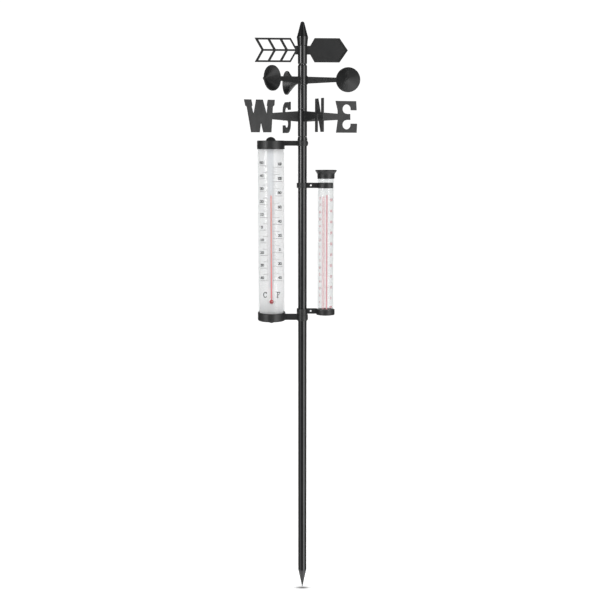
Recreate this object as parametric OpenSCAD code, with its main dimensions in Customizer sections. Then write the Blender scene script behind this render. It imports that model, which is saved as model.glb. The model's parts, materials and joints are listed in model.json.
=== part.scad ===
// Garden weather station on a ground stake: wind vane, cup wheel, compass arms,
// thermometer and rain gauge. Millimetres, +Z up. The origin is on the pole axis at
// the ground line, with the spike below it.

/* [Pole] */
// Outside diameter of the pole
pole_d = 22; // [20:0.2:24]
// Wall of the pole tubes
pole_wall = 1.2; // [0.8:0.1:2]
// Height of the pole top above the ground line
pole_top = 986; // [900:1:1100]
// Depth of the spike tip below the ground line
stake_depth = 183; // [120:1:260]
// Length of the tapered spike
spike_len = 50; // [40:1:80]

/* [Head] */
// Diameter of the turning hubs
hub_d = 22.8; // [20:0.2:26]
// Diameter of the steel spindle
spindle_d = 6; // [4:0.5:8]
// Width of the finial at its shoulder
finial_d = 28; // [25:0.1:32]
// Height of the finial
finial_h = 56.5; // [45:0.5:70]

/* [Wind vane] */
// Height of the vane's centre line
vane_z = 1202.5; // [1195:0.5:1230]
// Length of the tail from the pole axis
tail_len = 116.5; // [100:0.5:130]
// Length of the head from the pole axis
head_len = 111; // [95:0.5:120]
// Height of tail and head
vane_h = 57.4; // [50:0.2:60]
// Thickness of the tail and the head
vane_t = 3.2; // [2.4:0.2:5]
// Heading of the vane's head at rest
vane_turn = 4; // [-180:1:180]

/* [Cup wheel] */
// Height of the cup wheel's centre line
cup_z = 1131; // [1125:0.5:1135]
// Distance from the pole axis to a cup's axis
cup_radius = 112; // [95:1:120]
// Diameter of a cup's rim
cup_d = 59.4; // [50:0.2:62]
// Depth of a cup
cup_depth = 29; // [24:0.5:34]
// Direction of the first cup arm at rest
cup_turn = -9.3; // [-180:0.1:180]

/* [Compass] */
// Height of the compass arms' centre line
compass_z = 1044; // [1040:0.5:1050]
// Height of the letters
letter_h = 78; // [60:1:80]
// Thickness of the letters and arms
letter_t = 3; // [2:0.2:5]
// Direction of the east arm at rest
compass_turn = 20.7; // [-180:0.1:180]

/* [Thermometer] */
// Distance from the pole axis to the thermometer axis
therm_x = 78; // [70:0.5:90]
// Diameter of the thermometer tube
therm_d = 65.6; // [56:0.2:70]
// Bottom of the thermometer's lower cup
therm_bottom = 535.2; // [520:0.2:545]
// Top of the thermometer's upper cap
therm_top = 985.6; // [960:0.2:986]

/* [Rain gauge] */
// Distance from the pole axis to the gauge axis
gauge_x = 58.5; // [52:0.5:70]
// Diameter of the gauge tube
gauge_d = 40.6; // [36:0.2:44]
// Diameter of the funnel's lip
lip_d = 53.5; // [50:0.5:56]
// Top of the funnel's lip
gauge_top = 913.5; // [880:0.5:920]

/* [Hidden] */
$fn = 72;

black = "#26282a";
satin = "#1b1d1f";
steel = "silver";

run_fit = 0.05;
face_gap = 0.5;
edge = 0.4;

// Pole and spike
pole_r = pole_d / 2;
pole_in = pole_r - pole_wall;
spike_tip = -stake_depth;
spike_top = spike_tip + spike_len;
section_len = (pole_top - spike_top) / 3;
joint_low = spike_top + section_len;
joint_high = joint_low + section_len;
plug_len = 30;
coupler_half = 35;
coupler_wall = 1.6;

// Stack of parts on the spindle, from the pole upwards
collar_r = pole_r + 1.6;
collar_top = pole_top + 9;
stub_r = 7.5;
stub_top = collar_top + 34;
hub_r = hub_d / 2;
compass_bottom = collar_top + face_gap;
compass_top = 1061.5;
spacer_bottom = compass_top + face_gap;
spacer_top = 1119;
cup_bottom = spacer_top + face_gap;
cup_top = 1168;
vane_bottom = cup_top + face_gap;
vane_top = 1213;
finial_bottom = vane_top + face_gap;
finial_tip = finial_bottom + finial_h;
spindle_r = spindle_d / 2;
spindle_bottom = pole_top - plug_len + 4;
spindle_top = finial_bottom + 16;
bush_r = 5;
washer_r = 6.6;
washer_h = 0.8;
washer_seat_r = 7.4;
washer_levels = [spacer_top, cup_top - washer_h / 2 + face_gap / 2, finial_bottom - washer_h];
chamfer_h = 2.6;
chamfer_w = 1.9;

// Vane
stub_half = 10.3;
bar_h = 4.3;
slant_w = 6.6;
slant = tan(30);
chevrons = 3;
tail_close = 28.4;

// Cup wheel
arm_t = 3;
cup_wall = 1.6;
cup_r = cup_d / 2;
cup_nub_r = 4;

// Compass
half_letter = letter_h / 2;
arm_root_half = 12.6;
arm_tip_half = 7.4;

// Brackets on the pole
clip_bore = pole_r + run_fit;
clip_r = pole_r + 2.2;
clip_mouth = 34;
clip_reach = 14.2;
pointed_tip = 0.24;
blunt_tip = 0.8;
clip_h = 13.4;

// Thermometer
therm_r = therm_d / 2;
therm_wall = 1.6;
cap_h = 21;
cap_r = therm_r + 1.5;
cup_wall_low = 2.2;
foot_h = 21.3;
low_clip_top = 552.2;
arm_h = 12.3;
low_arm_h = 15;
plate_t = 2;
plate_w = 2 * (therm_r - therm_wall) - 3;
plate_bottom = therm_bottom + 5;
plate_top = therm_top - 5;
stem_r = 2.4;
bore_r = 1.35;
bulb_r = 6.6;
bulb_z = 582.8;
stem_top = 944;
stem_y = -bulb_r + 4.5;
liquid_top = 850.5;

// Rain gauge
gauge_r = gauge_d / 2;
gauge_wall = 1.6;
slide_gap = 0.3;
gauge_arm_h = 13;
ring_wall = 2.8;
upper_grip_z = 869.2;
lower_grip_z = 552.6;
ring_bottom = 550.8;
ring_floor = 2.4;
gauge_bottom = ring_bottom + ring_floor + slide_gap;
collar_h = 13.8;
lip_h = 7.4;
flare_h = 10.4;
gauge_tube_top = gauge_top - lip_h - 3;
drip_r = 3.6;
pinch_hole_x = 21;
pinch_hole_r = 2.35;

// ---- shared shapes ----

module tube(r_out, r_in, z0, z1) {
  translate([0, 0, z0])
    difference() {
      cylinder(r = r_out, h = z1 - z0);
      translate([0, 0, -1])
        cylinder(r = r_in, h = z1 - z0 + 2);
    }
}

// Pole section with softened ends
module pole_section(z0, z1) {
  rotate_extrude()
    polygon([
      [pole_in, z0], [pole_r - edge, z0], [pole_r, z0 + edge],
      [pole_r, z1 - edge], [pole_r - edge, z1], [pole_in, z1]
    ]);
}

// A plate drawn in the XZ plane, centred on the XZ plane in thickness
module upright(t) {
  translate([0, t / 2, 0])
    rotate([90, 0, 0])
      linear_extrude(height = t)
        children();
}

// Hub with a bore and chamfers of the given width at its low and high ends
module hub_body(z0, z1, bore, low, high) {
  rotate_extrude()
    polygon([
      [bore, z0], [hub_r - low, z0], [hub_r, z0 + low * chamfer_h / chamfer_w],
      [hub_r, z1 - high * chamfer_h / chamfer_w], [hub_r - high, z1], [bore, z1]
    ]);
}

// Snap-on clip around the pole: the arm is on +X and the mouth on -X. Its lips end in a
// tip as tall as the given share of the clip's height
module pole_clip(z0, h, tip_share) {
  lip_y = clip_bore * sin(clip_mouth) + 1.2;
  lip_x = clip_bore * cos(clip_mouth);
  tip_low = h * (1 - tip_share) / 2;
  difference() {
    union() {
      translate([0, 0, z0])
        difference() {
          cylinder(r = clip_r, h = h);
          translate([0, 0, -1])
            linear_extrude(height = h + 2)
              polygon([
                [0, 0],
                [-2 * clip_r, 2 * clip_r * tan(clip_mouth)],
                [-2 * clip_r, -2 * clip_r * tan(clip_mouth)]
              ]);
        }
      for (side = [-1, 1])
        translate([0, side * (lip_y + 0.5), z0])
          upright(2)
            polygon([
              [-lip_x, 0], [-lip_x, h], [-clip_r + 0.6, h - 0.6],
              [-clip_reach, h - tip_low], [-clip_reach, tip_low], [-clip_r + 0.6, 0.6]
            ]);
    }
    translate([0, 0, z0 - 1])
      cylinder(r = clip_bore, h = h + 2);
  }
}

// Flat bracket arm along +X with a shallow channel on both faces
module bracket_arm(x0, x1, z0, h, t) {
  channel = 0.8;
  difference() {
    translate([x0, -t / 2, z0])
      cube([x1 - x0, t, h]);
    for (side = [-1, 1])
      translate([x0 - 1, side * t / 2 - channel, z0 + h * 0.3])
        cube([x1 - x0 + 2, 2 * channel, h * 0.4]);
  }
}

// ---- pole ----

module ground_spike() {
  spike_points = [
    [0, spike_tip], [0.7, spike_tip + 1.2], [pole_r - 0.3, spike_top - 1.6], [pole_r, spike_top]
  ];
  plug_points = [
    [pole_in, spike_top], [pole_in, spike_top + plug_len - 1],
    [pole_in - 1, spike_top + plug_len], [0, spike_top + plug_len]
  ];
  color(satin)
    rotate_extrude()
      polygon(concat(spike_points, plug_points));
}

module pole_lower() {
  color(satin)
    pole_section(spike_top, joint_low);
}

module pole_middle() {
  color(satin)
    pole_section(joint_low, joint_high);
}

module pole_upper() {
  color(satin)
    pole_section(joint_high, pole_top);
}

module coupler(level) {
  tube(pole_in, pole_in - coupler_wall, level - coupler_half, level + coupler_half);
}

module coupler_lower() {
  color(steel)
    coupler(joint_low);
}

module coupler_upper() {
  color(steel)
    coupler(joint_high);
}

// Plug with a flared collar on the pole's end and a stub that carries the compass
module top_plug() {
  color(black)
    rotate_extrude()
      polygon([
        [spindle_r, pole_top - plug_len], [pole_in - 1, pole_top - plug_len],
        [pole_in, pole_top - plug_len + 1], [pole_in, pole_top], [collar_r, pole_top],
        [pole_r + 0.1, collar_top], [stub_r, collar_top], [stub_r, stub_top - 1],
        [stub_r - 1, stub_top], [spindle_r, stub_top]
      ]);
}

module spindle() {
  color(steel)
    translate([0, 0, spindle_bottom])
      cylinder(r = spindle_r, h = spindle_top - spindle_bottom);
}

module thrust_washers() {
  color(steel)
    for (level = washer_levels)
      tube(washer_r, spindle_r + run_fit, level, level + washer_h);
}

module spacer_sleeve() {
  color(black)
    tube(hub_r - 0.05, spindle_r + run_fit, spacer_bottom, spacer_top);
}

module finial() {
  r_low = hub_r + 0.6;
  r_mid = finial_d / 2;
  tip_r = 5.2;
  shoulder = finial_bottom + 20.4;
  cone_top = finial_tip - tip_r;
  color(black)
    difference() {
      rotate_extrude()
        polygon(concat(
          [[0, finial_bottom], [r_low, finial_bottom], [r_mid, shoulder - 1.4], [r_mid, shoulder]],
          [[r_mid - 1.2, shoulder + 3.4]],
          [for (a = [16 : 9.25 : 90]) [tip_r * cos(a), cone_top + tip_r * sin(a)]]
        ));
      translate([0, 0, finial_bottom - 1])
        cylinder(r = spindle_r + run_fit, h = spindle_top - finial_bottom + 1.3);
    }
}

// ---- compass ----

module compass_hub() {
  web = 5;
  color(black)
    difference() {
      hub_body(compass_bottom, compass_top, spindle_r + run_fit, 0.6, 0.6);
      translate([0, 0, compass_bottom - 1])
        cylinder(r = stub_r + run_fit, h = compass_top - compass_bottom - web + 1);
      for (turn = [0 : 90 : 270])
        rotate([0, 0, compass_turn + turn])
          translate([stub_r + 1.3, -letter_t / 2, compass_z - arm_root_half])
            cube([hub_r, letter_t, 2 * arm_root_half]);
    }
}

// Tapered arm from the hub's slot to the inner edge of its letter
module compass_arm_outline(reach) {
  root = stub_r + 1.3;
  polygon([
    [root, arm_root_half], [hub_r + 2, arm_root_half],
    [reach, arm_tip_half], [reach, -arm_tip_half],
    [hub_r + 2, -arm_root_half], [root, -arm_root_half]
  ]);
}

module letter_e_outline() {
  inner = 88;
  right = 145;
  counter_r = 11.4;
  counter_x = 118;
  counter_z = 19.2;
  serif_z = 16.4;
  tongue = 127.5;
  difference() {
    polygon([
      [inner, half_letter], [right - 1.5, half_letter], [right, serif_z], [right - 16.5, serif_z],
      [tongue, arm_tip_half], [tongue + 0.5, -arm_tip_half], [right - 15.5, -serif_z],
      [right + 1.5, -serif_z], [right + 0.5, -half_letter], [inner + 2, -half_letter],
      [inner + 6.4, -arm_tip_half], [inner + 6, serif_z]
    ]);
    for (side = [-1, 1])
      translate([counter_x, side * counter_z])
        circle(r = counter_r);
    for (side = [-1, 1])
      translate([counter_x, side > 0 ? arm_tip_half : -serif_z])
        square([40, serif_z - arm_tip_half]);
  }
}

// Outline of the W, read from its front with the hub to its right
module letter_w_outline() {
  mid = -111;
  translate([mid, 0])
    polygon([
      [-39, half_letter], [-20.8, half_letter], [-18, 25], [-20, 22.4], [-15, 4],
      [-8.5, half_letter], [8.5, half_letter], [18.4, 4], [20.4, 23], [18.8, 25.4],
      [21.4, half_letter], [39, half_letter], [38, 26], [34, 22.4], [30, -half_letter],
      [9.4, -half_letter], [3.6, -14.4], [0, -half_letter], [-21.6, -half_letter],
      [-32, 21.4], [-35.6, 24]
    ]);
}

module letter_n_outline() {
  inner = 87.5;
  width = 50;
  stroke = 12;
  slab = 15;
  slope = letter_h / (width - slab);
  low_notch = half_letter - stroke * slope;
  high_notch = half_letter - (width - stroke - slab) * slope;
  translate([inner, 0])
    polygon([
      [0, -half_letter], [stroke, -half_letter], [stroke, low_notch],
      [width - slab, -half_letter], [width, -half_letter], [width, half_letter],
      [width - stroke, half_letter], [width - stroke, high_notch], [slab, half_letter],
      [0, half_letter]
    ]);
}

// Slab-ended S built from two open loops and two hooks
module letter_s_outline() {
  mid = -113.5;
  half_w = 27.5;
  loop_r = 23;
  eye_r = 9;
  loop_z = half_letter - loop_r;
  shift = half_w - loop_r;
  hook = 19;
  mirror_z = [1, -1];
  translate([mid, 0]) {
    difference() {
      for (s = mirror_z)
        translate([0, s * loop_z]) {
          for (side = [-1, 1])
            translate([side * shift, 0])
              circle(r = loop_r);
          translate([-shift, -loop_r])
            square([2 * shift, 2 * loop_r]);
        }
      for (s = mirror_z)
        translate([0, s * loop_z]) {
          for (side = [-1, 1])
            translate([side * shift, 0])
              circle(r = eye_r);
          translate([-shift, -eye_r])
            square([2 * shift, 2 * eye_r]);
        }
      for (s = mirror_z)
        rotate(s > 0 ? 0 : 180)
          translate([shift, loop_z - eye_r])
            square([half_w, hook - loop_z + eye_r]);
    }
    for (s = mirror_z)
      rotate(s > 0 ? 0 : 180)
        translate([half_w - 8, hook])
          square([8, half_letter - hook]);
  }
}

// The arm and its letter, drawn as children and joined as solids
module letter_arm(turn) {
  color(black)
    rotate([0, 0, compass_turn + turn])
      translate([0, 0, compass_z])
        for (k = [0 : $children - 1])
          upright(letter_t)
            children(k);
}

module letter_arm_east() {
  letter_arm(0) {
    compass_arm_outline(100);
    letter_e_outline();
  }
}

module letter_arm_west() {
  letter_arm(0) {
    mirror([1, 0])
      compass_arm_outline(84);
    letter_w_outline();
  }
}

module letter_arm_north() {
  letter_arm(-90) {
    compass_arm_outline(92);
    letter_n_outline();
  }
}

module letter_arm_south() {
  letter_arm(-90) {
    mirror([1, 0])
      compass_arm_outline(113);
    letter_s_outline();
  }
}

// ---- cup wheel ----

module cup_hub() {
  color(black)
    difference() {
      hub_body(cup_bottom, cup_top, bush_r, 0.4, chamfer_w);
      translate([0, 0, cup_bottom - 1])
        cylinder(r = washer_seat_r, h = 2);
      translate([0, 0, cup_top - 1])
        cylinder(r = washer_seat_r, h = 2);
      for (turn = [0 : 120 : 240])
        rotate([0, 0, cup_turn + turn])
          translate([bush_r + 1.6, -arm_t / 2, cup_bottom + 1])
            cube([hub_r, arm_t, 21]);
    }
}

module cup_bush() {
  color("goldenrod")
    tube(bush_r, spindle_r + run_fit, cup_bottom + 1.4, cup_top - 1.4);
}

// Upright blade from the hub's slot to the cup, cut to sit on the cup's round rim
module cup_arm(turn) {
  root = bush_r + 1.6;
  fillet = 2.5;
  tip = cup_radius - cup_r + 1.5;
  tip_half = 5.4;
  low = cup_bottom + 1 - cup_z;
  color(black)
    rotate([0, 0, cup_turn + turn])
      translate([0, 0, cup_z])
        difference() {
          upright(arm_t)
            polygon([
              [root, low + 21], [hub_r + 0.4, low + 21], [hub_r + fillet, low + 20 - fillet / 2],
              [tip, tip_half], [tip, -tip_half],
              [hub_r + fillet, low + 1 + fillet / 2], [hub_r + 0.4, low], [root, low]
            ]);
          translate([cup_radius, arm_t, 0])
            rotate([90, 0, 0])
              cylinder(r = cup_r, h = 2 * arm_t);
        }
}

module cup_arm_1() { cup_arm(0); }
module cup_arm_2() { cup_arm(120); }
module cup_arm_3() { cup_arm(240); }

// Conical cup: its mouth faces along +Y, so the wheel turns with the points leading
module wind_cup(turn) {
  rim_w = 1.1;
  rim_h = arm_t;
  color(black)
    rotate([0, 0, cup_turn + turn])
      translate([cup_radius, 0, cup_z])
        rotate([-90, 0, 0])
          translate([0, 0, arm_t / 2 - cup_depth])
            rotate_extrude()
              polygon([
                [0, 0], [cup_nub_r - 0.8, 0], [cup_nub_r, 0.8], [cup_nub_r, 2.4],
                [cup_r - rim_w, cup_depth - rim_h], [cup_r, cup_depth - rim_h], [cup_r, cup_depth],
                [cup_r - cup_wall - 0.4, cup_depth], [cup_nub_r - 1.6, 3.2], [0, 3.2]
              ]);
}

module wind_cup_1() { wind_cup(0); }
module wind_cup_2() { wind_cup(120); }
module wind_cup_3() { wind_cup(240); }

// ---- vane ----

module vane_hub() {
  color(black)
    difference() {
      hub_body(vane_bottom, vane_top, bush_r, chamfer_w, 0.4);
      translate([0, 0, vane_bottom - 1])
        cylinder(r = washer_seat_r, h = 2);
      translate([0, 0, vane_top - 1])
        cylinder(r = washer_seat_r, h = 2);
      rotate([0, 0, vane_turn])
        translate([0, 0, vane_z])
          for (side = [0, 180])
            rotate([0, 0, side])
              translate([bush_r + 1.6, -vane_t / 2, -stub_half])
                cube([hub_r, vane_t, 2 * stub_half]);
    }
}

module vane_bush() {
  color("goldenrod")
    tube(bush_r, spindle_r + run_fit, vane_bottom + 1.4, vane_top - 1.4);
}

// Chevron fletching: three pairs of slanted windows between the bars
module tail_outline() {
  root = bush_r + 1.6;
  half = vane_h / 2;
  pitch = (tail_len - tail_close) / chevrons;
  top = half - bar_h;
  low = bar_h / 2;
  notch = tail_len - half * slant;
  stub_start = tail_close - (half - stub_half) * slant;
  difference() {
    polygon([
      [-tail_len, half], [-tail_close, half], [-stub_start, stub_half], [-root, stub_half],
      [-root, -stub_half], [-stub_start, -stub_half], [-tail_close, -half], [-tail_len, -half],
      [-notch, 0]
    ]);
    for (side = [-1, 1])
      for (k = [0 : chevrons - 1]) {
        left = -tail_len + k * pitch + slant_w;
        right = -tail_len + (k + 1) * pitch - (k == chevrons - 1 ? 5 : 0);
        polygon([
          [left + (half - top) * slant, side * top],
          [right + (half - top) * slant, side * top],
          [right + (half - low) * slant, side * low],
          [left + (half - low) * slant, side * low]
        ]);
      }
  }
}

module vane_tail() {
  color(black)
    rotate([0, 0, vane_turn])
      translate([0, 0, vane_z])
        upright(vane_t)
          tail_outline();
}

// Solid arrow head with bevelled cutting edges along its point
module vane_head() {
  root = bush_r + 1.6;
  half = vane_h / 2;
  neck = 18.8;
  shoulder = 29.6;
  point = 90.6;
  point_angle = atan2(half, head_len - point);
  bevel_w = 6;
  color(black)
    rotate([0, 0, vane_turn])
      translate([0, 0, vane_z])
        difference() {
          upright(vane_t)
            polygon([
              [root, stub_half], [neck, stub_half], [shoulder, half], [point, half],
              [head_len, 0], [point, -half], [shoulder, -half], [neck, -stub_half],
              [root, -stub_half]
            ]);
          for (face = [-1, 1])
            for (side = [-1, 1])
              translate([head_len, 0, 0])
                rotate([0, side * (90 - point_angle), 0])
                  translate([0, face * vane_t / 2, 0])
                    rotate([0, 0, face * 12])
                      translate([-bevel_w, face > 0 ? 0 : -vane_t, -2 * half])
                        cube([3 * bevel_w, vane_t, 4 * half]);
        }
}

// ---- thermometer ----

module at_therm() {
  translate([-therm_x, 0, 0])
    children();
}

module thermometer_tube() {
  color("#dfe6e8", 0.4)
    at_therm()
      tube(therm_r, therm_r - therm_wall, therm_bottom + 3, therm_top - 3);
}

// Upper bracket: closed cap on the tube, arm and pole clip in one moulding
module thermometer_upper_bracket() {
  arm_end = therm_x - cap_r + 1;
  color(black) {
    mirror([1, 0, 0]) {
      pole_clip(therm_top - clip_h, clip_h, pointed_tip);
      bracket_arm(clip_r - 1.6, arm_end, therm_top - arm_h - 0.4, arm_h, 7);
    }
    at_therm()
      difference() {
        translate([0, 0, therm_top - cap_h])
          rotate_extrude()
            polygon([
              [0, 0], [cap_r, 0], [cap_r, cap_h - 1.2], [cap_r - 1.2, cap_h], [0, cap_h]
            ]);
        translate([0, 0, therm_top - cap_h - 1])
          cylinder(r = therm_r, h = cap_h - 2);
        cylinder(r = 4, h = therm_top + 1);
      }
  }
}

// Lower bracket: open cup under the tube, arm and pole clip in one moulding
module thermometer_lower_bracket() {
  cup_out = therm_r + cup_wall_low;
  arm_end = therm_x - cup_out + 1.4;
  color(black) {
    mirror([1, 0, 0]) {
      pole_clip(therm_bottom, low_clip_top - therm_bottom, pointed_tip);
      bracket_arm(clip_r - 1.6, arm_end, therm_bottom + 1.4, low_arm_h, 8);
    }
    at_therm()
      difference() {
        translate([0, 0, therm_bottom])
          rotate_extrude()
            polygon([
              [0, 0], [cup_out - 2.2, 0], [cup_out, 2.2], [cup_out, foot_h - 0.6],
              [cup_out - 0.6, foot_h], [0, foot_h]
            ]);
        translate([0, 0, therm_bottom + 3])
          cylinder(r = therm_r, h = foot_h);
        translate([0, 0, therm_bottom - 1])
          cylinder(r = 4, h = 5);
      }
  }
}

// Domed knob that plugs the upper cap
module thermometer_knob() {
  dome_r = 13.3;
  dome_h = 8.8;
  sink = dome_r - dome_h;
  color(black)
    at_therm() {
      translate([0, 0, therm_top])
        intersection() {
          translate([0, 0, -sink])
            sphere(r = dome_r);
          cylinder(r = dome_r, h = dome_r);
        }
      translate([0, 0, therm_top - 3])
        cylinder(r = 4, h = 3.2);
    }
}

// Pointed plug under the lower cup
module thermometer_foot() {
  foot_drop = 7.8;
  color(black)
    at_therm() {
      translate([0, 0, therm_bottom - foot_drop])
        rotate_extrude()
          polygon([
            [0, 0], [2, 0.3], [4.8, 1.8], [10, 5.6], [11.2, foot_drop], [0, foot_drop]
          ]);
      translate([0, 0, therm_bottom - 0.2])
        cylinder(r = 4, h = 3.2);
    }
}

// White plate that carries the temperature scale, with a hole for the bulb
module scale_plate() {
  color("white")
    at_therm()
      difference() {
        translate([-plate_w / 2, stem_y + stem_r, plate_bottom])
          cube([plate_w, plate_t, plate_top - plate_bottom]);
        translate([0, stem_y + stem_r - 1, bulb_z])
          rotate([-90, 0, 0])
            cylinder(r = bulb_r + 0.6, h = plate_t + 2);
      }
}

module capillary_tube() {
  color("#e8f0f2", 0.4)
    at_therm()
      translate([0, stem_y, 0])
        difference() {
          union() {
            translate([0, 0, bulb_z])
              sphere(r = bulb_r);
            translate([0, 0, bulb_z])
              cylinder(r = stem_r, h = stem_top - bulb_z);
          }
          translate([0, 0, bulb_z])
            sphere(r = bulb_r - 1);
          translate([0, 0, bulb_z])
            cylinder(r = bore_r, h = stem_top - bulb_z - 3);
        }
}

module red_liquid() {
  color("red")
    at_therm()
      translate([0, stem_y, bulb_z]) {
        sphere(r = bulb_r - 1.05);
        cylinder(r = bore_r - 0.05, h = liquid_top - bulb_z);
      }
}

// ---- rain gauge ----

module at_gauge() {
  translate([gauge_x, 0, 0])
    children();
}

// Clear tube, closed at the bottom
module gauge_tube() {
  floor_t = 3;
  color("#e4eaec", 0.4)
    at_gauge()
      difference() {
        translate([0, 0, gauge_bottom])
          cylinder(r = gauge_r, h = gauge_tube_top - gauge_bottom);
        translate([0, 0, gauge_bottom + floor_t])
          cylinder(r = gauge_r - gauge_wall, h = gauge_tube_top - gauge_bottom);
      }
}

// Cap with a flared lip, a skirt over the tube and a drip hole
module gauge_funnel() {
  skirt_r = gauge_r + 1;
  skirt_in = gauge_r + slide_gap;
  lip_r = lip_d / 2;
  skirt_bottom = gauge_top - lip_h - collar_h;
  deck = gauge_tube_top + slide_gap;
  spout = deck - 8;
  color(black)
    at_gauge()
      rotate_extrude()
        polygon([
          [skirt_in, skirt_bottom], [skirt_r, skirt_bottom], [skirt_r + 0.4, gauge_top - flare_h],
          [skirt_r + 1.2, gauge_top - flare_h + 2.4], [lip_r - 0.6, gauge_top - 3.2],
          [lip_r, gauge_top - 2.4], [lip_r, gauge_top - 0.6], [lip_r - 0.6, gauge_top],
          [lip_r - 2.4, gauge_top],
          [gauge_r - 2.6, deck + 2], [drip_r, spout + 2], [drip_r, spout - 3],
          [drip_r + 1.4, spout - 3], [drip_r + 1.6, spout], [gauge_r - 3.4, deck],
          [skirt_in, deck]
        ]);
}

// Clip around the gauge tube, in the plane, with its mouth away from the pole
module grip_outline(mouth) {
  grip_in = gauge_r + slide_gap;
  grip_out = grip_in + ring_wall;
  difference() {
    circle(r = grip_out);
    circle(r = grip_in);
    if (mouth > 0)
      polygon([
        [0, 0], [2 * grip_out, 2 * grip_out * tan(mouth)],
        [2 * grip_out, -2 * grip_out * tan(mouth)]
      ]);
  }
}

module gauge_arm(z0) {
  arm_end = gauge_x - gauge_r - slide_gap - 1.2;
  difference() {
    bracket_arm(clip_r - 1.6, arm_end, z0, gauge_arm_h, 7);
    translate([pinch_hole_x, -10, z0 + gauge_arm_h / 2])
      rotate([-90, 0, 0])
        cylinder(r = pinch_hole_r, h = 20);
  }
}

module gauge_upper_bracket() {
  color(black) {
    pole_clip(upper_grip_z, gauge_arm_h, blunt_tip);
    gauge_arm(upper_grip_z);
    at_gauge()
      translate([0, 0, upper_grip_z])
        linear_extrude(height = gauge_arm_h - 0.4)
          grip_outline(43);
  }
}

module gauge_lower_bracket() {
  color(black) {
    pole_clip(lower_grip_z, gauge_arm_h, blunt_tip);
    gauge_arm(lower_grip_z);
    at_gauge() {
      translate([0, 0, ring_bottom])
        linear_extrude(height = gauge_arm_h - 0.6)
          grip_outline(0);
      tube(gauge_r + 1, gauge_r - 4, ring_bottom, ring_bottom + ring_floor);
    }
  }
}

// ---- nodes ----

ground_spike();
pole_lower();
pole_middle();
pole_upper();
coupler_lower();
coupler_upper();
top_plug();
spindle();
thrust_washers();
spacer_sleeve();
finial();
compass_hub();
letter_arm_west();
letter_arm_east();
letter_arm_north();
letter_arm_south();
cup_hub();
cup_bush();
cup_arm_1();
cup_arm_2();
cup_arm_3();
wind_cup_1();
wind_cup_2();
wind_cup_3();
vane_hub();
vane_bush();
vane_tail();
vane_head();
thermometer_tube();
thermometer_upper_bracket();
thermometer_lower_bracket();
thermometer_knob();
thermometer_foot();
scale_plate();
capillary_tube();
red_liquid();
gauge_tube();
gauge_funnel();
gauge_upper_bracket();
gauge_lower_bracket();
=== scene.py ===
"""Looks for the garden weather station: materials, printed scales, light and camera."""
import json
import math

import bmesh
import bpy
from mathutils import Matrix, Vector

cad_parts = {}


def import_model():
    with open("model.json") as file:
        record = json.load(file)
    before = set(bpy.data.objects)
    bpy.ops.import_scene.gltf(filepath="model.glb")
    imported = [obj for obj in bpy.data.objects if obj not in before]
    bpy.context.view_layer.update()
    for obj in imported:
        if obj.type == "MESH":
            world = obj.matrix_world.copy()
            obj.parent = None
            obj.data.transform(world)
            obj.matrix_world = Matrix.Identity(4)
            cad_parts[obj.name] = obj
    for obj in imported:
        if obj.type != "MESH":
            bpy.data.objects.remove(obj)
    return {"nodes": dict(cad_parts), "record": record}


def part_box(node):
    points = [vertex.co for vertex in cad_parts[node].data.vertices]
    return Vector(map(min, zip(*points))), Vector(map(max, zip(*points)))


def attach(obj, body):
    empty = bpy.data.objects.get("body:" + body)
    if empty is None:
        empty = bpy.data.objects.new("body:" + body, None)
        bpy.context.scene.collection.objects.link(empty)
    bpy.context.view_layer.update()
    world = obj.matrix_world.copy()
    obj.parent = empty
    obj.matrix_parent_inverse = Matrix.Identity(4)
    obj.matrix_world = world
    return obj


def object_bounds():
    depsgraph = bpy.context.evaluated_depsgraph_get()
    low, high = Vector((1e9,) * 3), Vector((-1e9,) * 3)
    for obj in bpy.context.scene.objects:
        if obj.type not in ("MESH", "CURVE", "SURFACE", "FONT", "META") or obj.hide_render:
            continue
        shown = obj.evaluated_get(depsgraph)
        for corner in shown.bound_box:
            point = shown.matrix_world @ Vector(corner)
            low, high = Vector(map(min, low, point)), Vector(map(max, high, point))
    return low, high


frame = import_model()
CAD_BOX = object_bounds()
NODES = frame["nodes"]


# ---------------------------------------------------------------- shader helpers


def mixed(tree, fac, first, second):
    """A mix of two shaders: all first where fac is 0 and all second where it is 1."""
    mix = tree.nodes.new("ShaderNodeMixShader")
    tree.links.new(fac, mix.inputs[0])
    tree.links.new(first, mix.inputs[1])
    tree.links.new(second, mix.inputs[2])
    return mix.outputs[0]


def fill_ramp(node, stops):
    """Sets a colour ramp's stops; a stop is (position, grey value or colour)."""
    elements = node.color_ramp.elements
    while len(elements) < len(stops):
        elements.new(0.5)
    for element, (position, value) in zip(elements, stops):
        colour = value if isinstance(value, tuple) else (value, value, value)
        element.position = position
        element.color = (*colour, 1.0)


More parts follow.
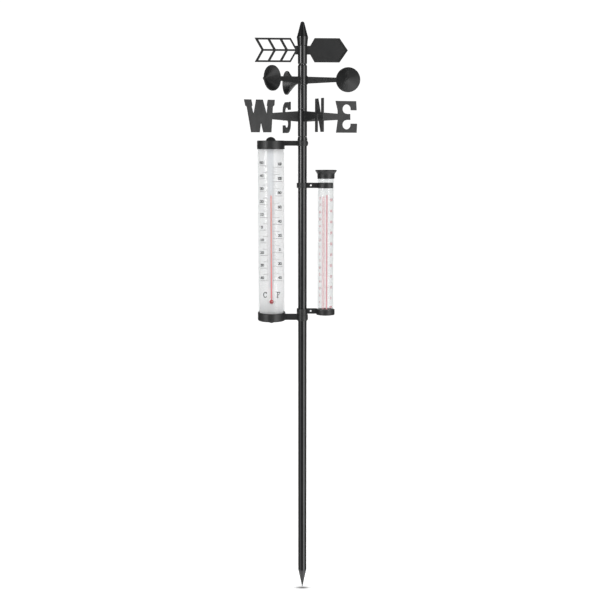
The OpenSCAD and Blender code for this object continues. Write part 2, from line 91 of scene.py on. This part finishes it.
class Shader:
    """A material's node tree with short calls for the nodes this scene uses."""

    def __init__(self, name):
        self.material = bpy.data.materials.new(name)
        self.material.use_nodes = True
        self.tree = self.material.node_tree
        self.tree.nodes.clear()
        self.out = self.tree.nodes.new("ShaderNodeOutputMaterial")
        self.coords = self.tree.nodes.new("ShaderNodeTexCoord")

    def node(self, kind, **values):
        """A new node; each value goes to the setting or the input of that name."""
        made = self.tree.nodes.new(kind)
        for key, value in values.items():
            if hasattr(made, key) and key not in made.inputs:
                setattr(made, key, value)
            else:
                made.inputs[key].default_value = value
        return made

    def link(self, source, target):
        self.tree.links.new(source, target)

    def place(self, stretch, shift=(0, 0, 0)):
        """The object's own coordinates in metres, stretched and then shifted."""
        mapping = self.node("ShaderNodeMapping")
        mapping.inputs["Location"].default_value = shift
        mapping.inputs["Scale"].default_value = stretch
        self.link(self.coords.outputs["Object"], mapping.inputs["Vector"])
        return mapping.outputs["Vector"]

    def noise(self, scale, detail=3.0, roughness=0.5, stretch=(1, 1, 1)):
        made = self.node("ShaderNodeTexNoise", Scale=scale, Detail=detail, Roughness=roughness)
        self.link(self.place(stretch), made.inputs["Vector"])
        return made.outputs["Fac"]

    def ramp(self, source, stops):
        made = self.tree.nodes.new("ShaderNodeValToRGB")
        fill_ramp(made, stops)
        self.link(source, made.inputs["Fac"])
        return made.outputs["Color"]

    def bump(self, source, height, under=None):
        """Fine relief, height metres deep, on top of the normal that under gives."""
        made = self.node("ShaderNodeBump", Strength=1.0, Distance=height)
        self.link(source, made.inputs["Height"])
        if under is not None:
            self.link(under, made.inputs["Normal"])
        return made.outputs["Normal"]

    def principled(self, **values):
        return self.node("ShaderNodeBsdfPrincipled", **values)

    def mix(self, fac, first, second):
        return mixed(self.tree, fac, first, second)

    def finish(self, socket):
        self.link(socket, self.out.inputs["Surface"])
        return self.material


def shade(colour, factor):
    """The same colour, darker or lighter."""
    return tuple(channel * factor for channel in colour)


# ---------------------------------------------------------------- materials

POLE_BLACK = (0.0055, 0.0058, 0.006)
MOULD_BLACK = (0.0085, 0.0088, 0.009)
LETTER_BLACK = (0.0105, 0.0108, 0.011)
PLATE_WHITE = (0.70, 0.70, 0.705)
BAND_GREY = (0.61, 0.62, 0.64)
INK_BLACK = (0.02, 0.02, 0.022)
INK_RED = (0.50, 0.23, 0.255)
BULB_RED = (0.32, 0.004, 0.012)
COLUMN_RED = (0.92, 0.13, 0.15)
FAINT_RED = (0.95, 0.34, 0.29)
WASH_DARK = (0.42, 0.185, 0.2)
WASH_LIGHT = (0.48, 0.215, 0.235)
TUBE_TINT = (0.925, 0.93, 0.93)
STEM_TINT = (0.995, 0.995, 0.995)
STEEL = (0.62, 0.62, 0.63)
BRASS = (0.75, 0.56, 0.27)
# Radius in metres to which the shader softens sharp black edges
EDGE_ROUNDING = 0.0005


def black_material(name, colour, gloss, grain_scale, grain_height, shine=0.5):
    """Black paint or moulded plastic: cloudy tone, uneven gloss, a fine grain and softened edges."""
    s = Shader(name)
    cloud = s.noise(35.0, 4.0, 0.6)
    tone = s.ramp(cloud, [(0.3, shade(colour, 0.82)), (0.7, shade(colour, 1.25))])
    wipe = s.noise(90.0, 3.0, 0.6, (1, 1, 0.25))
    rough = s.ramp(wipe, [(0.25, gloss - 0.05), (0.75, gloss + 0.06)])
    grain = s.noise(grain_scale, 2.0, 0.5)
    soft_edge = s.node("ShaderNodeBevel", samples=4, Radius=EDGE_ROUNDING)
    body = s.principled()
    body.inputs["Specular IOR Level"].default_value = shine
    s.link(tone, body.inputs["Base Color"])
    s.link(rough, body.inputs["Roughness"])
    normal = s.bump(grain, grain_height, under=soft_edge.outputs["Normal"])
    s.link(normal, body.inputs["Normal"])
    return s.finish(body.outputs[0])


def metal_material(name, colour, gloss, turned_scale):
    """Bare turned metal with fine rings along its length."""
    s = Shader(name)
    rings = s.noise(turned_scale, 3.0, 0.6, (0.05, 0.05, 1))
    tone = s.ramp(rings, [(0.3, shade(colour, 0.85)), (0.7, shade(colour, 1.05))])
    rough = s.ramp(s.noise(200.0), [(0.3, gloss - 0.05), (0.7, gloss + 0.1)])
    body = s.principled(Metallic=1.0)
    s.link(tone, body.inputs["Base Color"])
    s.link(rough, body.inputs["Roughness"])
    s.link(s.bump(rings, 0.00004), body.inputs["Normal"])
    return s.finish(body.outputs[0])


def clear_material(name, tint, haze, edge_haze, shine, edge_shine):
    """A clear thin wall: see-through, milkier and shinier where it is seen at a slant."""
    s = Shader(name)
    see = s.node("ShaderNodeBsdfTransparent")
    see.inputs["Color"].default_value = (*tint, 1.0)
    wall = s.principled(Roughness=0.25)
    fog = s.noise(40.0, 3.0, 0.6, (1, 1, 0.15))
    s.link(s.ramp(fog, [(0.3, 0.80), (0.7, 0.86)]), wall.inputs["Base Color"])
    slant = s.node("ShaderNodeLayerWeight", Blend=0.5).outputs["Facing"]
    milk = s.ramp(slant, [(0.0, haze), (0.7, haze * 1.6), (0.97, edge_haze)])
    clouded = s.mix(milk, see.outputs[0], wall.outputs[0])
    gloss = s.node("ShaderNodeBsdfGlossy")
    s.link(s.ramp(fog, [(0.3, 0.04), (0.7, 0.09)]), gloss.inputs["Roughness"])
    mirror = s.ramp(slant, [(0.0, shine), (0.5, shine * 2), (0.75, shine * 6), (1.0, edge_shine)])
    return s.finish(s.mix(mirror, clouded, gloss.outputs[0]))


def plate_material():
    """White printed sheet, a little uneven in tone."""
    s = Shader("white_plate")
    tone = s.ramp(s.noise(12.0, 3.0, 0.5), [(0.3, shade(PLATE_WHITE, 0.96)), (0.7, PLATE_WHITE)])
    body = s.principled()
    s.link(tone, body.inputs["Base Color"])
    s.link(s.ramp(s.noise(60.0), [(0.3, 0.38), (0.7, 0.5)]), body.inputs["Roughness"])
    s.link(s.bump(s.noise(900.0), 0.00002), body.inputs["Normal"])
    return s.finish(body.outputs[0])


def ink_material(name, colour):
    """Printed ink: tone broken up a little by the printing."""
    s = Shader(name)
    speckle = s.noise(700.0, 2.0, 0.6)
    tone = s.ramp(speckle, [(0.3, shade(colour, 0.88)), (0.7, shade(colour, 1.12))])
    body = s.principled()
    s.link(tone, body.inputs["Base Color"])
    s.link(s.ramp(speckle, [(0.2, 0.45), (0.8, 0.6)]), body.inputs["Roughness"])
    return s.finish(body.outputs[0])


def wash_material():
    """A thin see-through band of pink ink."""
    s = Shader("gauge_wash")
    see = s.node("ShaderNodeBsdfTransparent")
    ink = s.principled(Roughness=0.5)
    speckle = s.noise(500.0, 2.0, 0.6)
    tone = s.ramp(speckle, [(0.3, WASH_DARK), (0.7, WASH_LIGHT)])
    s.link(tone, ink.inputs["Base Color"])
    cover = s.ramp(speckle, [(0.3, 0.22), (0.7, 0.3)])
    return s.finish(s.mix(cover, see.outputs[0], ink.outputs[0]))


def spirit_material():
    """Dyed spirit: deep red in the bulb, and paler up the thin column."""
    s = Shader("red_liquid")
    split = s.node("ShaderNodeSeparateXYZ")
    s.link(s.coords.outputs["Generated"], split.inputs[0])
    depth = s.ramp(split.outputs["Z"], [(0.025, BULB_RED), (0.055, COLUMN_RED), (0.5, FAINT_RED)])
    patches = s.ramp(s.noise(60.0), [(0.3, 0.86), (0.7, 1.0)])
    tone = s.node("ShaderNodeMix", data_type="RGBA", blend_type="MULTIPLY")
    tone.inputs[0].default_value = 1.0
    s.link(depth, tone.inputs[6])
    s.link(patches, tone.inputs[7])
    body = s.principled()
    s.link(tone.outputs[2], body.inputs["Base Color"])
    s.link(s.ramp(s.noise(300.0), [(0.3, 0.2), (0.7, 0.3)]), body.inputs["Roughness"])
    return s.finish(body.outputs[0])


# One material for each of the record's slots
MATERIALS = {
    "pole_paint": black_material(
        "pole_paint", POLE_BLACK, gloss=0.15, grain_scale=900.0, grain_height=0.000003),
    "black_plastic": black_material(
        "black_plastic", MOULD_BLACK, gloss=0.42, grain_scale=1400.0, grain_height=0.000015, shine=0.42),
    "hub_plastic": black_material(
        "hub_plastic", POLE_BLACK, gloss=0.16, grain_scale=1100.0, grain_height=0.000004),
    "letter_plastic": black_material(
        "letter_plastic", LETTER_BLACK, gloss=0.5, grain_scale=1600.0, grain_height=0.00003, shine=0.4),
    "bare_steel": metal_material("bare_steel", STEEL, gloss=0.28, turned_scale=2500.0),
    "bush_brass": metal_material("bush_brass", BRASS, gloss=0.3, turned_scale=2500.0),
    "clear_tube": clear_material(
        "clear_tube", TUBE_TINT, haze=0.02, edge_haze=0.4, shine=0.01, edge_shine=0.3),
    "white_plate": plate_material(),
    "capillary_glass": clear_material(
        "capillary_glass", STEM_TINT, haze=0.003, edge_haze=0.08, shine=0.003, edge_shine=0.05),
    "red_liquid": spirit_material(),
}
INK_BLACK_MATERIAL = ink_material("scale_ink", INK_BLACK)
INK_RED_MATERIAL = ink_material("gauge_ink", INK_RED)
WASH_MATERIAL = wash_material()
BAND_MATERIAL = ink_material("stem_band_ink", BAND_GREY)


def dress_cad_nodes():
    """Every CAD node takes the material of its record slot."""
    for part in frame["record"]["subparts"]:
        obj = NODES[part["node"]]
        obj.data.materials.clear()
        obj.data.materials.append(MATERIALS[part["material_slot"]])


def let_light_through():
    """Clear walls cast no shadow and don't block soft light, as thin clear plastic barely does."""
    for node in ("thermometer_tube", "capillary_tube", "gauge_tube"):
        NODES[node].visible_shadow = False
        NODES[node].visible_diffuse = False


dress_cad_nodes()
let_light_through()


# ---------------------------------------------------------------- printed marks

# Strokes of the generic numerals and letters, on a grid 4 wide and 6 high
GLYPHS = {
    "0": [[(0, 1), (0, 5), (1, 6), (3, 6), (4, 5), (4, 1), (3, 0), (1, 0), (0, 1)]],
    "1": [[(1, 5), (2, 6), (2, 0)], [(1, 0), (3, 0)]],
    "2": [[(0, 5), (1, 6), (3, 6), (4, 5), (4, 4), (0, 0), (4, 0)]],
    "3": [[(0, 6), (4, 6), (2, 3.6), (3, 3.6), (4, 2.6), (4, 1), (3, 0), (1, 0), (0, 1)]],
    "4": [[(3, 0), (3, 6), (0, 2), (4, 2)]],
    "5": [[(4, 6), (0, 6), (0, 3.6), (3, 3.6), (4, 2.6), (4, 1), (3, 0), (1, 0), (0, 1)]],
    "6": [[(4, 6), (1, 6), (0, 4), (0, 1), (1, 0), (3, 0), (4, 1), (4, 2.6), (3, 3.4), (0, 3.4)]],
    "7": [[(0, 6), (4, 6), (1.5, 0)]],
    "8": [
        [(1, 3.2), (0, 4), (0, 5), (1, 6), (3, 6), (4, 5), (4, 4), (3, 3.2), (1, 3.2)],
        [(1, 3.2), (0, 2.3), (0, 1), (1, 0), (3, 0), (4, 1), (4, 2.3), (3, 3.2)],
    ],
    "9": [[(0, 0), (3, 0), (4, 2), (4, 5), (3, 6), (1, 6), (0, 5), (0, 3.4), (1, 2.6), (4, 2.6)]],
    "C": [[(4, 4.6), (3.4, 5.6), (2.4, 6), (1.2, 5.6), (0.3, 4.4), (0, 3), (0.3, 1.6), (1.2, 0.4),
           (2.4, 0), (3.4, 0.4), (4, 1.4)], [(4, 4.6), (4, 6)]],
    "F": [[(0, 0), (2, 0)], [(1, 0), (1, 6)], [(0, 6), (4, 6), (4, 4.8)], [(1, 3.2), (3, 3.2)]],
    "m": [[(0, 0), (0, 4)], [(0, 3.2), (0.8, 4), (1.5, 4), (2, 3.2), (2, 0)],
          [(2, 3.2), (2.8, 4), (3.5, 4), (4, 3.2), (4, 0)]],
}
GRID_W = 4.0
GRID_H = 6.0
LETTER_GAP = 1.7
PRINT_THICKNESS = 0.00006
# Widest flat piece of a mark, so that it follows a round wall
PATCH_STEP = 0.0015


class Print:
    """Collects flat marks in (across, up) metres and turns them into one mesh.

    wrap maps (across, up, lift) to a point of the model, where lift is the height above the
    printed face."""

    def __init__(self, name, wrap):
        self.name = name
        self.wrap = wrap
        self.mesh = bmesh.new()

    def patch(self, corners):
        """A thin four-sided patch: low left, low right, high right, high left.

        It is cut across into pieces, so that it follows a round wall."""
        width = max(abs(corners[1][0] - corners[0][0]), abs(corners[2][0] - corners[3][0]))
        count = max(1, math.ceil(width / PATCH_STEP))
        low, high = [], []
        for i in range(count + 1):
            t = i / count
            for row, (a, b) in ((low, (0, 1)), (high, (3, 2))):
                x = corners[a][0] + (corners[b][0] - corners[a][0]) * t
                z = corners[a][1] + (corners[b][1] - corners[a][1]) * t
                row.append([self.mesh.verts.new(self.wrap(x, z, lift))
                            for lift in (0.0, PRINT_THICKNESS)])
        for i in range(count):
            a, b, c, d = low[i], low[i + 1], high[i + 1], high[i]
            self.mesh.faces.new([a[1], b[1], c[1], d[1]])
            self.mesh.faces.new([d[0], c[0], b[0], a[0]])
            self.mesh.faces.new([a[0], b[0], b[1], a[1]])
            self.mesh.faces.new([c[0], d[0], d[1], c[1]])
        for pair, flip in (((low[0], high[0]), False), ((low[-1], high[-1]), True)):
            a, d = pair
            loop = [a[0], a[1], d[1], d[0]]
            self.mesh.faces.new(loop[::-1] if flip else loop)

    def bar(self, x0, x1, z0, z1):
        self.patch([(x0, z0), (x1, z0), (x1, z1), (x0, z1)])

    def stroke(self, a, b, width):
        """A straight stroke with square ends a little past its points."""
        ax, az = a
        bx, bz = b
        length = math.hypot(bx - ax, bz - az)
        ux, uz = (bx - ax) / length, (bz - az) / length
        half = width / 2
        ax, az, bx, bz = ax - ux * half, az - uz * half, bx + ux * half, bz + uz * half
        nx, nz = -uz * half, ux * half
        corners = [(ax - nx, az - nz), (bx - nx, bz - nz), (bx + nx, bz + nz), (ax + nx, az + nz)]
        if abs(ux) < 0.5:
            corners = [corners[3], corners[0], corners[1], corners[2]]
            if corners[0][0] > corners[1][0]:
                corners = [corners[1], corners[0], corners[3], corners[2]]
        elif ux < 0:
            corners = [corners[2], corners[3], corners[0], corners[1]]
        self.patch(corners)

    def text(self, word, x, z, height, weight, squeeze=0.8):
        """Generic numerals and letters, centred on (x, z)."""
        unit = height / GRID_H
        across = unit * squeeze
        advance = (GRID_W + LETTER_GAP) * across
        width = advance * len(word) - LETTER_GAP * across
        left = x - width / 2
        for i, sign in enumerate(word):
            for line in GLYPHS[sign]:
                points = [(left + i * advance + px * across, z + (pz - GRID_H / 2) * unit)
                          for px, pz in line]
                for a, b in zip(points, points[1:]):
                    self.stroke(a, b, weight)

    def finish(self, material, body, slot):
        bmesh.ops.recalc_face_normals(self.mesh, faces=self.mesh.faces)
        data = bpy.data.meshes.new(self.name)
        self.mesh.to_mesh(data)
        self.mesh.free()
        obj = bpy.data.objects.new(self.name, data)
        bpy.context.scene.collection.objects.link(obj)
        data.materials.append(material)
        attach(obj, body)


def flat_wrap(centre_x, face_y):
    """Marks on a flat plate that faces -Y."""
    def wrap(x, z, lift):
        return Vector((centre_x + x, face_y - lift, z))
    return wrap


def round_wrap(centre_x, radius):
    """Marks on the front of an upright tube."""
    def wrap(x, z, lift):
        angle = x / radius
        r = radius + lift
        return Vector((centre_x + r * math.sin(angle), -r * math.cos(angle), z))
    return wrap


# The thermometer's printed scale, measured up from the plate's lower edge
PLATE_LOW, PLATE_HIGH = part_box("scale_plate")
THERM_X = (PLATE_LOW.x + PLATE_HIGH.x) / 2
CELSIUS_ZERO = PLATE_LOW.z + 0.2240
PER_CELSIUS = 0.003194
UNIT_LETTERS_Z = PLATE_LOW.z + 0.0600
THERM_DIGIT_H = 0.0054
THERM_DIGIT_WEIGHT = 0.0015
# Reach from the stem's middle and thickness of the three kinds of mark
MAJOR_MARK = (0.0275, 0.0008)
MEDIUM_MARK = (0.0205, 0.0007)
MINOR_MARK = (0.0120, 0.0004)


def celsius_z(value):
    return CELSIUS_ZERO + value * PER_CELSIUS


def stem_band():
    """A pale grey stripe printed along the stem, from the bulb's neck to the plate's top."""
    left, right, lowest_celsius, top_margin = -0.0076, 0.0062, -46, 0.004
    band = Print("thermometer_stem_band", flat_wrap(THERM_X, PLATE_LOW.y + PRINT_THICKNESS / 2))
    band.bar(left, right, celsius_z(lowest_celsius), PLATE_HIGH.z - top_margin)
    band.finish(BAND_MATERIAL, "thermometer", "white_plate")


def scale_ticks(ink, side, start, values, height, major, medium):
    """Marks beside the stem; side is -1 for its left and 1 for its right."""
    for value in values:
        if value % major == 0:
            reach, weight = MAJOR_MARK
        elif value % medium == 0:
            reach, weight = MEDIUM_MARK
        else:
            reach, weight = MINOR_MARK
        z = height(value)
        low, high = sorted((side * start, side * reach))
        ink.bar(low, high, z - weight / 2, z + weight / 2)


def fahrenheit_z(value):
    return celsius_z((value - 32) * 5 / 9)


def thermometer_print():
    """°C marks on the left of the stem and °F marks on its right, over a common -40."""
    celsius_x, celsius_lift = -0.0232, 0.0074
    fahrenheit_x, fahrenheit_lift = 0.0213, 0.0079
    squeeze, long_squeeze = 0.87, 0.6
    celsius_start, fahrenheit_start = 0.0082, 0.0036
    c_x, f_x, letter_h, letter_weight = -0.0165, 0.0170, 0.0132, 0.002
    ink = Print("thermometer_scale_print", flat_wrap(THERM_X, PLATE_LOW.y))
    scale_ticks(ink, -1, celsius_start, range(-40, 51), celsius_z, major=10, medium=5)
    scale_ticks(ink, 1, fahrenheit_start, range(-40, 121, 2), fahrenheit_z, major=20, medium=10)
    for value in range(-40, 51, 10):
        ink.text(str(abs(value)), celsius_x, celsius_z(value) + celsius_lift,
                 THERM_DIGIT_H, THERM_DIGIT_WEIGHT, squeeze)
    for value in range(-40, 121, 20):
        word = str(abs(value))
        ink.text(word, fahrenheit_x, fahrenheit_z(value) + fahrenheit_lift,
                 THERM_DIGIT_H, THERM_DIGIT_WEIGHT, long_squeeze if len(word) > 2 else squeeze)
    ink.text("C", c_x, UNIT_LETTERS_Z, letter_h, letter_weight)
    ink.text("F", f_x, UNIT_LETTERS_Z, letter_h, letter_weight)
    ink.finish(INK_BLACK_MATERIAL, "thermometer", "white_plate")


def gauge_print():
    """Red millimetre marks on the right and eighths of an inch on the left."""
    low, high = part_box("gauge_tube")
    centre = (low.x + high.x) / 2
    clearance = 0.00002
    radius = (high.x - low.x) / 2 + clearance
    ink = Print("gauge_scale_print", round_wrap(centre, radius))
    wash = Print("gauge_scale_wash", round_wrap(centre, radius))
    zero = low.z + 0.0139
    foot = low.z + 0.0133
    top = low.z + 0.2993
    # Height on the tube of one scale millimetre, and scale millimetres in an inch
    per_mm = 0.00546
    inch = 25.4
    digit_h = 0.0052
    weight = 0.0012
    line_left, line_right = 0.0003, 0.0035
    wash_left, wash_right, wash_drop = -0.0104, -0.0034, 0.004
    major_reach, minor_reach = 0.0092, 0.0058
    half_mark = 0.00025
    mm_x, inch_x, inch_squeeze = 0.0142, -0.0168, 0.95
    inch_mark_left, half_inch_mark = -0.0128, 0.0003
    wash.bar(wash_left, wash_right, foot, top - wash_drop)
    ink.bar(line_left, line_right, foot, top)
    for value in range(0, 53):
        z = zero + value * per_mm
        reach = major_reach if value % 5 == 0 else minor_reach
        ink.bar(line_right, reach, z - half_mark, z + half_mark)
    for value in range(5, 51, 5):
        ink.text(str(value), mm_x, zero + value * per_mm, digit_h, weight)
    for eighth in range(1, 17):
        z = zero + eighth * inch / 8 * per_mm
        ink.bar(inch_mark_left, wash_left, z - half_inch_mark, z + half_inch_mark)
        ink.text(str(eighth % 8 or eighth // 8), inch_x, z, digit_h, weight, inch_squeeze)
    ink.text("mm", mm_x, zero + digit_h, digit_h, weight)
    ink.finish(INK_RED_MATERIAL, "gauge", "clear_tube")
    wash.finish(WASH_MATERIAL, "gauge", "clear_tube")


stem_band()
thermometer_print()
gauge_print()


# ---------------------------------------------------------------- floor, light and camera

FLOOR_Z = CAD_BOX[0].z
FLOOR_RADIUS = 40.0
# Half width and half depth of the contact shadow painted on the floor under the spike, and how far it is
# in front
PAINTED_SHADOW_SPOT = (0.034, 0.011)
PAINTED_SHADOW_FORWARD = 0.006


def floor():
    """A wide pale floor, lit from within like a studio's light table, with a soft contact shadow painted
    into its colour under the spike.
    """
    mesh = bmesh.new()
    bmesh.ops.create_circle(mesh, cap_ends=True, radius=FLOOR_RADIUS, segments=96)
    data = bpy.data.meshes.new("floor")
    mesh.to_mesh(data)
    mesh.free()
    obj = bpy.data.objects.new("floor", data)
    obj.location = (0, 0, FLOOR_Z)
    bpy.context.scene.collection.objects.link(obj)
    s = Shader("floor")
    painted_shadow_ball = s.node("ShaderNodeTexGradient", gradient_type="SPHERICAL")
    painted_shadow_place = s.place((1 / PAINTED_SHADOW_SPOT[0], 1 / PAINTED_SHADOW_SPOT[1], 1),
                   (0, PAINTED_SHADOW_FORWARD / PAINTED_SHADOW_SPOT[1], 0))
    s.link(painted_shadow_place, painted_shadow_ball.inputs["Vector"])
    # Painted contact shadow: the floor's colour, for its glow and its diffuse alike, darkens towards the
    # middle of the spot under the spike.
    tone = s.ramp(painted_shadow_ball.outputs["Fac"], [(0.0, 0.87), (0.4, 0.6), (0.68, 0.3), (1.0, 0.04)])
    body = s.node("ShaderNodeBsdfDiffuse")
    s.link(tone, body.inputs["Color"])
    glow = s.node("ShaderNodeEmission", Strength=0.8)
    s.link(tone, glow.inputs["Color"])
    both = s.node("ShaderNodeAddShader")
    s.link(body.outputs[0], both.inputs[0])
    s.link(glow.outputs[0], both.inputs[1])
    path = s.node("ShaderNodeLightPath")
    seen = s.mix(path.outputs["Is Camera Ray"], body.outputs[0], both.outputs[0])
    data.materials.append(s.finish(seen))
    obj.visible_glossy = False
    obj.visible_shadow = False


def soft_lamp(name, place, aim, size, energy):
    """A round soft lamp that lights surfaces but is not mirrored in them."""
    light = bpy.data.lights.new(name, "AREA")
    light.shape = "DISK"
    light.size = size
    light.energy = energy
    obj = bpy.data.objects.new(name, light)
    obj.location = place
    obj.rotation_euler = (Vector(aim) - Vector(place)).to_track_quat("-Z", "Y").to_euler()
    obj.visible_camera = False
    obj.visible_glossy = False
    bpy.context.scene.collection.objects.link(obj)


# Brightness of the studio all round: azimuth from the camera in degrees, right positive
STUDIO_ROUND = [
    (-180, 0.12), (-163, 0.12), (-160, 2.2), (-150, 2.2), (-147, 0.12), (-110, 0.15), (-80, 0.5),
    (-56, 0.6), (-50, 1.6), (-40, 2.2), (-36, 0.3), (-31, 0.02), (-14, 0.02), (-4, 0.3),
    (26, 0.35), (32, 4.6), (50, 4.4), (64, 1.1), (90, 0.4), (110, 0.15), (147, 0.12),
    (150, 2.2), (160, 2.2), (163, 0.12), (180, 0.12),
]
# The ramps hold values up to 1, so this is taken out of them and put back as the strength
STUDIO_PEAK = 9.0
# What the camera sees past the floor
BACKDROP_WHITE = 1.05
# Share of the studio's brightness at a direction's height (-1 is down, 1 is up)
STUDIO_HEIGHT = [(-1.0, 0.3), (-0.65, 0.4), (-0.5, 1.0), (0.3, 1.0), (0.42, 0.25), (1.0, 0.35)]
# Extra brightness of the left strip; upright walls mirror it only above the thermometer's middle
LEFT_STRIP = [(-58, 0.0), (-53, 8.5), (-38, 8.5), (-32, 0.0)]
LEFT_STRIP_HEIGHT = [(-0.105, 0.0), (-0.07, 0.6), (-0.04, 1.0), (0.32, 1.0), (0.4, 0.0)]
# Glow of the light table, by a direction's height
TABLE_GLOW = [(-1.0, 1.3), (-0.6, 1.3), (-0.48, 0.0)]


def world():
    """White for the camera; for everything else a grey studio with upright strip lights."""
    made = bpy.data.worlds.new("studio")
    made.use_nodes = True
    tree = made.node_tree
    tree.nodes.clear()
    out = tree.nodes.new("ShaderNodeOutputWorld")
    coords = tree.nodes.new("ShaderNodeTexCoord")
    split = tree.nodes.new("ShaderNodeSeparateXYZ")
    tree.links.new(coords.outputs["Generated"], split.inputs[0])

    def math_node(operation, first, second):
        node = tree.nodes.new("ShaderNodeMath")
        node.operation = operation
        for socket, value in zip(node.inputs, (first, second)):
            if isinstance(value, float):
                socket.default_value = value
            else:
                tree.links.new(value, socket)
        return node.outputs[0]

    def ramp(source, stops):
        node = tree.nodes.new("ShaderNodeValToRGB")
        fill_ramp(node, stops)
        tree.links.new(source, node.inputs["Fac"])
        return node.outputs["Color"]

    back = math_node("MULTIPLY", split.outputs["Y"], -1.0)
    azimuth = math_node("ARCTAN2", split.outputs["X"], back)
    turn = math_node("ADD", math_node("DIVIDE", azimuth, 2 * math.pi), 0.5)
    rise = math_node("ADD", math_node("MULTIPLY", split.outputs["Z"], 0.5), 0.5)

    def by_azimuth(stops):
        return ramp(turn, [((angle + 180) / 360, value / STUDIO_PEAK) for angle, value in stops])

    def by_height(stops, scale=1.0):
        return ramp(rise, [((up + 1) / 2, value / scale) for up, value in stops])

    ring = math_node("MULTIPLY", by_azimuth(STUDIO_ROUND), by_height(STUDIO_HEIGHT))
    left = math_node("MULTIPLY", by_azimuth(LEFT_STRIP), by_height(LEFT_STRIP_HEIGHT))
    table = by_height(TABLE_GLOW, STUDIO_PEAK)
    level = math_node("ADD", math_node("ADD", ring, left), table)
    studio = tree.nodes.new("ShaderNodeBackground")
    studio.inputs["Strength"].default_value = STUDIO_PEAK
    tree.links.new(level, studio.inputs["Color"])
    white = tree.nodes.new("ShaderNodeBackground")
    white.inputs["Color"].default_value = (1, 1, 1, 1)
    white.inputs["Strength"].default_value = BACKDROP_WHITE
    path = tree.nodes.new("ShaderNodeLightPath")
    shown = mixed(tree, path.outputs["Is Camera Ray"], studio.outputs[0], white.outputs[0])
    tree.links.new(shown, out.inputs["Surface"])
    bpy.context.scene.world = made


# The camera looks along +Y and a little down
CAMERA_AT = Vector((-0.006, -2.441, 0.9747))
CAMERA_PITCH = math.radians(9.02)
CAMERA_LENS = 58.59
SENSOR = 36.0


def camera():
    data = bpy.data.cameras.new("camera")
    data.sensor_width = SENSOR
    data.lens = CAMERA_LENS
    data.clip_start = 0.05
    data.clip_end = 200.0
    obj = bpy.data.objects.new("camera", data)
    obj.location = CAMERA_AT
    obj.rotation_euler = (math.pi / 2 - CAMERA_PITCH, 0, 0)
    bpy.context.scene.collection.objects.link(obj)
    bpy.context.scene.camera = obj


# The fill lamps point at the two instruments
LAMP_AIM = (0, 0, 0.75)

floor()
soft_lamp("overhead", place=(0, 0, 3.2), aim=(0, 0, 0), size=0.6, energy=30)
soft_lamp("front_fill", place=(-0.2, -3.6, 1.5), aim=LAMP_AIM, size=2.4, energy=26)
soft_lamp("back_fill", place=(-0.6, 3.6, 1.5), aim=LAMP_AIM, size=2.4, energy=18)
world()
camera()
bpy.context.scene.view_settings.view_transform = "Standard"
bpy.context.scene.view_settings.look = "None"
